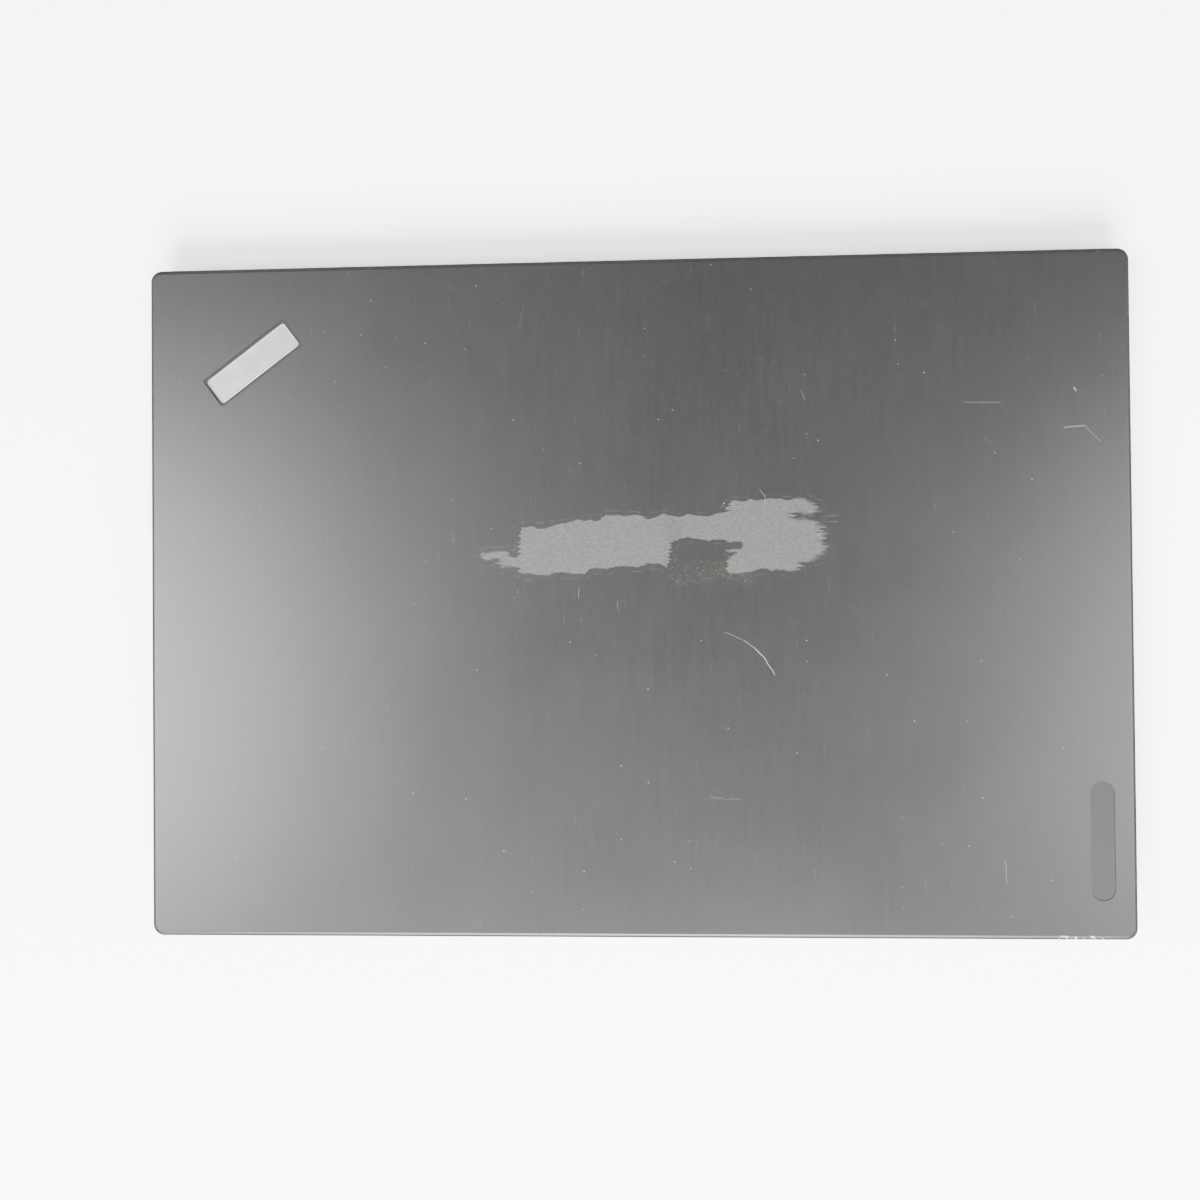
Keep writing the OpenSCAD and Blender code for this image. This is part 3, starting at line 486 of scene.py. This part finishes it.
def slot_looks():
    """One material for each material slot of the record, and a black sheet material for painted shade."""
    return {
        "soft_touch_black": worn_paint("soft_touch_black"),
        "shell_black": grained("shell_black", (0.007, 0.007, 0.0073), 0.42, dust=0.2, level=0.13),
        "cover_alloy": grained("cover_alloy", (0.008, 0.0081, 0.0086), 0.46, 0.28, dust=0.25, level=0.13),
        "bezel_black": grained("bezel_black", (0.006, 0.006, 0.0062), 0.45, grain=0.3),
        "key_black": grained("key_black", (0.0058, 0.0058, 0.006), 0.42, grain=0.22, depth=0.008),
        "lattice_black": grained("lattice_black", (0.0035, 0.0035, 0.0035), 0.6),
        "rubber_black": rubber("rubber_black", (0.008, 0.008, 0.008)),
        "stick_rubber": rubber("stick_rubber", (0.03, 0.031, 0.034)),
        "dome_silicone": rubber("dome_silicone", (0.62, 0.62, 0.6), 0.6),
        "screen_glass": glass("screen_glass", (0.003, 0.0032, 0.004), 0.24, 0.003, 0.14),
        "pad_glass": glass("pad_glass", (0.0085, 0.0086, 0.009), 0.38, 0.005, 0.2),
        "lens_glass": glass("lens_glass", (0.004, 0.004, 0.007), 0.05, 0.0, 0.5),
        "reader_black": glass("reader_black", (0.005, 0.005, 0.0055), 0.34, 0.002, 0.16),
        "badge_metal": metal("badge_metal", (0.26, 0.263, 0.266), 0.5, (9, 1, 1), 0.004),
        "light_guide": grained("light_guide", (0.68, 0.69, 0.7), 0.35, grain=0.4, depth=0.004),
        "sheet_metal": metal("sheet_metal", (0.52, 0.53, 0.55), 0.38, (14, 1, 1)),
        "hinge_steel": metal("hinge_steel", (0.09, 0.09, 0.095), 0.42, (8, 1, 1)),
        "pin_steel": metal("pin_steel", (0.56, 0.57, 0.58), 0.28, (1, 10, 10)),
        "screw_dark": metal("screw_dark", (0.045, 0.045, 0.048), 0.4),
        "screw_steel": metal("screw_steel", (0.6, 0.6, 0.61), 0.32),
        "port_steel": metal("port_steel", (0.42, 0.425, 0.43), 0.32, (1, 9, 1), 0.0006),
        "port_plastic": grained("port_plastic", (0.018, 0.018, 0.019), 0.45),
        "board_green": circuit_board("board_green"),
        "chip_black": grained("chip_black", (0.02, 0.02, 0.021), 0.42, grain=0.2),
        "copper": metal("copper", (0.72, 0.33, 0.17), 0.33, (10, 1, 1)),
        "fin_aluminium": metal("fin_aluminium", (0.68, 0.69, 0.7), 0.3, (10, 1, 1)),
        "fan_plastic": grained("fan_plastic", (0.02, 0.02, 0.021), 0.45, dust=0.5),
        "cell_foil": cell_wrap("cell_foil"),
        "coin_steel": metal("coin_steel", (0.68, 0.68, 0.69), 0.25, (6, 1, 1)),
        "antenna_foil": metal("antenna_foil", (0.62, 0.52, 0.28), 0.4, (6, 1, 1)),
        "cable_black": grained("cable_black", (0.02, 0.02, 0.022), 0.4),
        # Black for painted shade on sheet metal that shows between keys and buttons
        "painted_shade_sheet": grained("painted_shade_sheet", (0.004, 0.004, 0.0042), 0.5, grain=0.5),
    }


# ---------- mesh helpers ----------

def islands(node):
    """Lowest and highest corner of each separate solid of a CAD node, from back left to front right."""
    work = bmesh.new()
    work.from_mesh(frame["nodes"][node].data)
    bmesh.ops.remove_doubles(work, verts=work.verts, dist=0.002 * MM)
    unseen = set(work.verts)
    boxes = []
    while unseen:
        group = [unseen.pop()]
        for vertex in group:
            for edge in vertex.link_edges:
                other = edge.other_vert(vertex)
                if other in unseen:
                    unseen.remove(other)
                    group.append(other)
        low = Vector([min(v.co[i] for v in group) for i in range(3)])
        high = Vector([max(v.co[i] for v in group) for i in range(3)])
        boxes.append((low, high))
    work.free()
    return sorted(boxes, key=lambda b: (-round(b[1].y / MM), b[0].x))


def add_piece(name, work, body, look, smooth=30):
    """Turns a bmesh into a piece that rides on a body."""
    bmesh.ops.recalc_face_normals(work, faces=work.faces)
    data = bpy.data.meshes.new(name)
    work.to_mesh(data)
    work.free()
    data.materials.append(look)
    data.shade_smooth()
    data.set_sharp_from_angle(angle=math.radians(smooth))
    piece = bpy.data.objects.new(name, data)
    bpy.context.scene.collection.objects.link(piece)
    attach(piece, body)
    return piece


def skin(work, rings, close_start=True, close_end=True):
    """Joins closed rings of points, each with the same count, into a surface."""
    loops = [[work.verts.new(p) for p in ring] for ring in rings]
    count = len(loops[0])
    for a, b in zip(loops, loops[1:]):
        for i in range(count):
            j = (i + 1) % count
            work.faces.new((a[i], a[j], b[j], b[i]))
    if close_start:
        work.faces.new(loops[0][::-1])
    if close_end:
        work.faces.new(loops[-1])


def round_outline(half_x, half_y, radius, steps=5, side_points=1):
    """Points round a rectangle with round corners, from its centre, with side_points to each side."""
    points = []
    for turn, (sx, sy) in enumerate(((1, 1), (-1, 1), (-1, -1), (1, -1))):
        for step in range(steps + 1):
            angle = math.radians(90 * (turn + step / steps))
            points.append(Vector((sx * (half_x - radius) + radius * math.cos(angle),
                                  sy * (half_y - radius) + radius * math.sin(angle))))
    dense = []
    for index, (a, b) in enumerate(zip(points, points[1:] + points[:1])):
        pieces = side_points if index % (steps + 1) == steps else 1
        dense += [a.lerp(b, i / pieces) for i in range(pieces)]
    return dense


# ---------- keys ----------

# Key cap shape: depth of the hollow, how far the sides slope in, where the rim ends, the ink's
# height over the face and the gap left round the pointing stick
DISH = 0.28 * MM
KEY_SLOPE = 0.55 * MM
KEY_RIM = 0.77 * MM
INK = 0.025 * MM
STICK_ROOM = 1.1 * MM
KEY_CORNER = 1.5 * MM
# Caps whose edge comes this near the pointing stick are cut round it
STICK_NEAR = 5.5 * MM
# Points to each side of an ordinary cap and of one that is cut
SIDE_POINTS, CUT_SIDE_POINTS = 6, 36
# Rings that carry the hollow inwards, as shares of the face
FACE_RINGS = (1, 0.93, 0.8, 0.6, 0.35, 0.1)
# Legends: height of single signs and of words, and caps shallower than FLAT_KEY centre theirs
SIGN_SIZE, WORD_SIZE = 4.6 * MM, 3.1 * MM
FLAT_KEY = 9 * MM
# Legends of each row of caps, from back left to front right; _ is a cap without one
KEY_ROWS = {
    "function_keys": "Esc F1 F2 F3 F4 F5 F6 F7 F8 F9 F10 F11 F12 Home End Ins Del",
    "number_keys": "` 1 2 3 4 5 6 7 8 9 0 - = Back",
    "upper_keys": "Tab Q W E R T Y U I O P [ ] \\",
    "home_keys": "Caps A S D F G H J K L ; ' Enter",
    "lower_keys": "Shift Z X C V B N M , . / Shift",
    "modifier_keys": "Fn Ctrl _ Alt Alt _ Ctrl",
    "space_bar": "_",
    "arrow_keys": "_ ↑ _ ← ↓ →",
}


def dish_height(offset, half, top):
    """Height of a cap's hollowed face at an offset from its middle."""
    across = 1 - min(1, abs(offset.x) / half.x) ** 2
    along = 1 - min(1, abs(offset.y) / half.y) ** 2
    return top - DISH * across * along


def key_cap(work, low, high):
    """A cap with sloped sides, a soft rim and a hollowed face, cut round the pointing stick."""
    centre = ((low + high) / 2).xy
    half = (high - low).xy / 2
    face = half - Vector((KEY_RIM, KEY_RIM))
    away = stick_centre.xy - centre
    near_stick = max(abs(away.x) - half.x, abs(away.y) - half.y) < STICK_NEAR
    room = (stick_high.x - stick_low.x) / 2 + STICK_ROOM

    def ring(inset, height=None, share=1.0):
        """An outline of the cap, inset from its foot and drawn in to a share of its size."""
        points = []
        for point in round_outline(half.x - inset, half.y - inset, KEY_CORNER - inset * 0.5, 4,
                                   CUT_SIDE_POINTS if near_stick else SIDE_POINTS):
            place = centre + point * share
            gap = place - stick_centre.xy
            clear = room + inset + (1 - share) * 1.5 * MM
            if near_stick and gap.length < clear:
                place = stick_centre.xy + gap.normalized() * clear
            points.append((place.x, place.y, height or dish_height(place - centre, face, high.z)))
        return points

    rings = [ring(0.12 * MM, low.z), ring(0.0, low.z + 0.15 * MM), ring(0.02 * MM, low.z + 0.5 * MM),
             ring(KEY_SLOPE - 0.12 * MM, high.z - 0.28 * MM),
             ring(KEY_SLOPE + 0.02 * MM, high.z - 0.07 * MM)]
    skin(work, rings + [ring(KEY_RIM, share=share) for share in FACE_RINGS])


def key_legend(text, low, high):
    """A legend laid on a cap's face, in its back left corner, as points and faces."""
    font = bpy.data.curves.new("legend", "FONT")
    font.body = text
    font.size = SIGN_SIZE if len(text) == 1 else WORD_SIZE
    source = bpy.data.objects.new("legend", font)
    bpy.context.scene.collection.objects.link(source)
    bpy.context.view_layer.update()
    shape = source.evaluated_get(bpy.context.evaluated_depsgraph_get()).to_mesh()
    centre = ((low + high) / 2).xy
    face = (high - low).xy / 2 - Vector((KEY_RIM, KEY_RIM))
    if high.y - low.y < FLAT_KEY:
        start = Vector((-max(v.co.x for v in shape.vertices) / 2, -1.1 * MM))
    else:
        start = Vector((-face.x + 1.5 * MM, face.y - 1.1 * MM - 0.72 * font.size))
    points = []
    for vertex in shape.vertices:
        offset = start + vertex.co.xy
        points.append((*(centre + offset), dish_height(offset, face, high.z) + INK))
    faces = [tuple(p.vertices) for p in shape.polygons]
    source.to_mesh_clear()
    bpy.data.objects.remove(source)
    bpy.data.curves.remove(font)
    return points, faces


def make_keys(looks, ink):
    """Replaces each row of plain caps with shaped caps and printed legends."""
    for node, words in KEY_ROWS.items():
        boxes = islands(node)
        caps = bmesh.new()
        legends = bmesh.new()
        for (low, high), word in zip(boxes, words.split()):
            key_cap(caps, low, high)
            if word == "_":
                continue
            points, faces = key_legend(word, low, high)
            verts = [legends.verts.new(p) for p in points]
            for face in faces:
                legends.faces.new([verts[i] for i in face])
        caps_piece = add_piece(node + "_shaped", caps, node, looks["key_black"], 40)
        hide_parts(node)
        if len(legends.faces):
            add_piece(node + "_legends", legends, node, ink)
        else:
            legends.free()


def ring_about(centre, sizes, turns, height):
    """A ring of points about an upright axis, each with its own radius and direction."""
    return [(centre.x + size * math.cos(turn), centre.y + size * math.sin(turn), height)
            for size, turn in zip(sizes, turns)]


def lathe(work, centre, profile, steps=48, close_end=True):
    """Turns a profile of (radius, height) points about an upright axis."""
    turns = [2 * math.pi * i / steps for i in range(steps)]
    skin(work, [ring_about(centre, [radius] * steps, turns, height) for radius, height in profile],
         close_end=close_end)


# The cap stands on a stem this far under its top, and its profile is (share of the radius, rise)
STICK_CAP_HEIGHT = 2.0 * MM
STICK_PROFILE = ((0.86, 0.05), (0.99, 0.35), (1, 0.75), (0.96, 1.15), (0.84, 1.5), (0.66, 1.72),
                 (0.45, 1.66), (0.2, 1.6))
# Rings of grip dots: share of the radius and rise
GRIP_RINGS = ((0.28, 1.6), (0.52, 1.6), (0.76, 1.62))
GRIP_DOT = 0.2 * MM


def make_pointing_stick(looks):
    """Rubber cap with a soft brim, a shallow cup and rows of small grip dots."""
    work = bmesh.new()
    low, high = stick_low, stick_high
    radius = (high.x - low.x) / 2
    height = high.z - STICK_CAP_HEIGHT
    profile = [(1.3 * MM, low.z), (1.35 * MM, height)]
    profile += [(radius * share, height + rise * MM) for share, rise in STICK_PROFILE]
    lathe(work, stick_centre, profile + [(0.05 * MM, height + 1.58 * MM)])
    for share, rise in GRIP_RINGS:
        count = round(share * 22)
        for i in range(count):
            angle = 2 * math.pi * i / count
            spot = stick_centre + Vector((math.cos(angle), math.sin(angle), 0)) * radius * share
            spot.z = height + rise * MM
            matrix = Matrix.Translation(spot)
            bmesh.ops.create_icosphere(work, subdivisions=2, radius=GRIP_DOT, matrix=matrix)
    piece = add_piece("pointing_stick_cap", work, "base", looks["stick_rubber"], 50)
    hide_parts("pointing_stick")


# ---------- badge, screws and sockets ----------

BADGE_TILT = math.radians(-143.4)
BADGE_HALF = (17.1 * MM, 4.9 * MM)
BADGE_CORNER = 1.2
# The bar's section from its foot to its face: inset from the outline and drop from the top, in mm
BADGE_STEPS = ((0.1, 0.45), (0, 0.3), (0.02, 0.14), (0.16, 0), (0.5, 0), (0.62, 0.07), (0.72, 0.07),
               (1.0, 0.07))


def make_badge(looks):
    """A plain bar with a raised border, set in the lid's recess at a slant."""
    low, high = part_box("lid_badge")
    centre = (low + high) / 2
    turn = Matrix.Rotation(BADGE_TILT, 2)
    work = bmesh.new()
    rings = []
    for inset, drop in BADGE_STEPS:
        outline = round_outline(BADGE_HALF[0] - inset * MM, BADGE_HALF[1] - inset * MM,
                                BADGE_CORNER * MM - inset * MM, 6)
        rings.append([(*(centre.xy + turn @ p), high.z - drop * MM) for p in outline])
    skin(work, rings)
    piece = add_piece("lid_badge_bar", work, "lid", looks["badge_metal"], 50)
    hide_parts("lid_badge")


# A screw's section from its shank to its face: share of the head's radius, height over its face
SCREW_STEPS = ((0.42, 0.62), (0.98, 0.55), (1, 0.3), (0.93, 0.06), (0.84, 0))
# The cross cut in it: share of its size at the face, and depth
CROSS_STEPS = ((1, 0), (0.95, 0.05), (0.85, 0.42))
# Reach and half width of the cross's arms, as shares of the head's radius
CROSS_REACH, CROSS_HALF = 0.6, 0.16


def cross_turns(half, reach):
    """Directions round a screw's head, with one through each corner of its cross."""
    corner = math.atan2(half, reach)
    turns = []
    for quarter in range(4):
        start = quarter * math.pi / 2
        turns += [start + corner * (i / 2 - 1) for i in range(4)]
        turns += [start + corner + (math.pi / 2 - 2 * corner) * i / 7 for i in range(7)]
    return turns


def cross_edge(turn, half, reach):
    """Distance from a cross's middle to its outline in one direction."""
    across, along = sorted((abs(math.cos(turn)), abs(math.sin(turn))))
    return min(reach / along, half / max(across, 0.001))


def make_screw_heads(looks):
    """Screw heads with a cut cross, in the bottom cover's counterbores."""
    work = bmesh.new()
    for low, high in islands("bottom_screws"):
        middle = ((low + high) / 2).xy
        radius = (high.x - low.x) / 2
        reach, half = radius * CROSS_REACH, radius * CROSS_HALF
        turns = cross_turns(half, reach)
        shank = [radius * SCREW_STEPS[0][0]] * len(turns)
        rings = [ring_about(middle, shank, turns, high.z)]
        for share, height in SCREW_STEPS:
            size = [radius * share] * len(turns)
            rings.append(ring_about(middle, size, turns, low.z + height * MM))
        for share, depth in CROSS_STEPS:
            edge = [cross_edge(turn, half * share, reach * share) for turn in turns]
            rings.append(ring_about(middle, edge, turns, low.z + depth * MM))
        skin(work, rings)
    piece = add_piece("bottom_screws_crossed", work, "base", looks["screw_dark"], 35)
    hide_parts("bottom_screws")


def strip(work, start, end, half, bottom, top):
    """A sprung contact along X: a thin strip with a bent, narrowed tip at its end."""
    rings = []
    for share, width, lift in ((0, 1, 0), (0.5, 1, 0.2), (0.8, 1, 0.6), (0.93, 0.9, 0.3), (1, 0.5, 0)):
        x = start.x + (end.x - start.x) * share
        low = bottom + (top - bottom) * 0.5 * (1 - lift)
        high = low + (top - bottom) * 0.5
        rings.append([(x, start.y - half * width, low), (x, start.y + half * width, low),
                      (x, start.y + half * width, high), (x, start.y - half * width, high)])
    skin(work, rings)


def tongue(work, root, tip, half, thick, height):
    """A plastic tongue along X with a chamfered, round-cornered tip."""
    side = 1 if tip > root[0] else -1
    rings = []
    for back, trim in ((None, 0), (0.3, 0), (0.1, 0.07), (0, 0.22)):
        x = root[0] if back is None else tip - side * back * MM
        wide, tall = half - trim * MM, thick / 2 - trim * MM * 0.6
        rings.append([(x, root[1] + p.x, height + p.y) for p in round_outline(wide, tall, 0.15 * MM, 2)])
    skin(work, rings)


# Tongue of each shielded socket: node, half width, thickness, height over the socket's middle,
# set-back from the mouth, depth, and the number, pitch and half width of its contacts, in mm
TONGUES = (("usb_ports", 5.56, 1.92, 1, 0.75, 12, 4, 2.4, 0.5),
           ("hdmi_port", 5.86, 1.32, 0, 0.75, 9.5, 10, 1.0, 0.18),
           ("usb_c_ports", 3.36, 0.82, 0, 0.4, 7.5, 12, 0.5, 0.12))


def make_socket_insides(looks, gold):
    """Plastic tongues in the shielded sockets, and gold contacts on them and in the network one."""
    plastic = bmesh.new()
    contacts = bmesh.new()
    for node, half, thick, lift, setback, depth, count, pitch, contact in TONGUES:
        for low, high in islands(node):
            side = 1 if low.x > 0 else -1
            mouth = high.x if side > 0 else low.x
            middle = (low.y + high.y) / 2
            height = (low.z + high.z) / 2 + lift * MM
            root = mouth - side * (setback + depth) * MM
            tip = mouth - side * setback * MM
            tongue(plastic, (root, middle), tip, half * MM, thick * MM, height)
            under = height - thick / 2 * MM
            for i in range(count):
                y = middle + (i - (count - 1) / 2) * pitch * MM
                strip(contacts, Vector((root, y)), Vector((tip - side * 1.2 * MM, y)), contact * MM,
                      under - 0.16 * MM, under + 0.04 * MM)
    low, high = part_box("ethernet_port")
    for i in range(8):
        y = (low.y + high.y) / 2 + (i - 3.5) * 1.02 * MM
        strip(contacts, Vector((low.x + 1.7 * MM, y)), Vector((high.x - 3 * MM, y)), 0.2 * MM,
              high.z - 1.4 * MM, high.z - 0.3 * MM)
    add_piece("socket_tongues", plastic, "base", looks["port_plastic"], 40)
    add_piece("socket_contacts", contacts, "base", gold, 40)


# ---------- carried-over CAD nodes ----------

# Width in mm of the soft edges that some nodes get
SOFT_EDGES = {
    "rubber_feet": 0.35, "touchpad": 0.12, "left_button": 0.3, "middle_button": 0.3,
    "right_button": 0.3, "power_button": 0.25, "battery_pack": 0.6,
    "speakers": 0.4, "coin_cell": 0.3, "fingerprint_reader": 0.12,
}
# Sheet metal coloured black as painted shade, where it shows through the gaps between keys and buttons
SHADE_SHEETS = {"keyboard_plate": "painted_shade_sheet", "touchpad_bracket": "painted_shade_sheet"}


def dress_cad_nodes(looks):
    """Gives every carried-over CAD node the material of its slot, or for two sheets a black one as
    painted shade, and softens some edges.
    """
    for part in frame["record"]["subparts"]:
        node = frame["nodes"][part["node"]]
        node.data.materials.clear()
        # The keyboard plate and touchpad bracket get the black sheet as painted shade instead of their
        # slot's metal
        node.data.materials.append(looks[SHADE_SHEETS.get(part["node"], part["material_slot"])])
        width = SOFT_EDGES.get(part["node"])
        if width:
            weld = node.modifiers.new("weld", "WELD")
            weld.merge_threshold = 0.002 * MM
            bevel = node.modifiers.new("soft_edges", "BEVEL")
            bevel.width = width * MM
            bevel.segments = 3
            bevel.limit_method = "ANGLE"
            bevel.angle_limit = math.radians(40)
            bevel.harden_normals = False


# ---------- stage ----------

# Flat floor's radius, radius of the curve up into the wall, and the wall's top, in metres
FLOOR_REACH = 2.4
WALL_CURVE = 1.2
WALL_HEIGHT = 2.2
CEILING_GLOW = 0.08
# Square lights: name, place, side, watts and tint
LIGHTS = (("left_window", (0.78, 0.09, 1.19), 0.52, 49, (1, 0.995, 1)),
          ("right_window", (-0.45, 0.07, 0.57), 0.35, 8.4, (1, 0.95, 0.9)),
          ("rear_panel", (0.04, 1.21, 1.18), 0.97, 267, (1, 1, 0.99)))
# Camera: distance over the lid's face, offset from its middle, tilts in degrees, lens and sensor in mm
CAMERA_RISE = 0.5127
CAMERA_OFFSET = (-0.0225, 0.0088)
CAMERA_TURN = (0.864, 3.751, 179.505)
LENS, SENSOR = 45, 36


def make_stage():
    """A white floor that curves up into a wall all round, under three soft lights."""
    work = bmesh.new()
    profile = [(FLOOR_REACH * i / 4, 0) for i in range(5)][1:]
    profile += [(FLOOR_REACH + WALL_CURVE * math.sin(turn), WALL_CURVE * (1 - math.cos(turn)))
                for turn in [math.radians(90 * i / 12) for i in range(1, 13)]]
    profile.append((FLOOR_REACH + WALL_CURVE, WALL_HEIGHT))
    lathe(work, Vector((0, 0, 0)), [(r, cad_low.z + z) for r, z in profile], 96, close_end=False)
    data = bpy.data.meshes.new("sweep")
    work.to_mesh(data)
    work.free()
    data.shade_smooth()
    sweep = bpy.data.objects.new("sweep", data)
    bpy.context.scene.collection.objects.link(sweep)
    data.materials.append(Look("sweep_white", (0.95, 0.95, 0.95), 0.9).material)

    world = bpy.data.worlds.new("ceiling")
    bpy.context.scene.world = world
    world.use_nodes = True
    background = world.node_tree.nodes["Background"]
    background.inputs["Color"].default_value = (1, 1, 1, 1)
    background.inputs["Strength"].default_value = CEILING_GLOW
    for light in LIGHTS:
        soft_light(*light)


def soft_light(name, place, size, power, tint):
    """A square light aimed at the object's middle."""
    data = bpy.data.lights.new(name, "AREA")
    data.shape = "SQUARE"
    data.size = size
    data.energy = power
    data.color = tint
    light = bpy.data.objects.new(name, data)
    light.location = place
    target = Vector((0, 0, lid_high.z))
    light.rotation_euler = (target - light.location).to_track_quat("-Z", "Y").to_euler()
    bpy.context.scene.collection.objects.link(light)


def make_camera():
    """Straight above the lid, a little off its middle, with the lid's free edge at the top."""
    data = bpy.data.cameras.new("camera")
    data.sensor_width = SENSOR
    data.lens = LENS
    camera = bpy.data.objects.new("camera", data)
    camera.location = (*CAMERA_OFFSET, lid_high.z + CAMERA_RISE)
    camera.rotation_euler = [math.radians(angle) for angle in CAMERA_TURN]
    data.clip_start = 0.01
    bpy.context.scene.collection.objects.link(camera)
    bpy.context.scene.camera = camera


def main():
    make_camera()
    looks = slot_looks()
    ink = key_print()
    gold = metal("contact_gold", (0.83, 0.62, 0.25), 0.28, (6, 1, 1))
    dress_cad_nodes(looks)
    make_keys(looks, ink)
    make_pointing_stick(looks)
    make_badge(looks)
    make_screw_heads(looks)
    make_socket_insides(looks, gold)
    make_stage()


main()
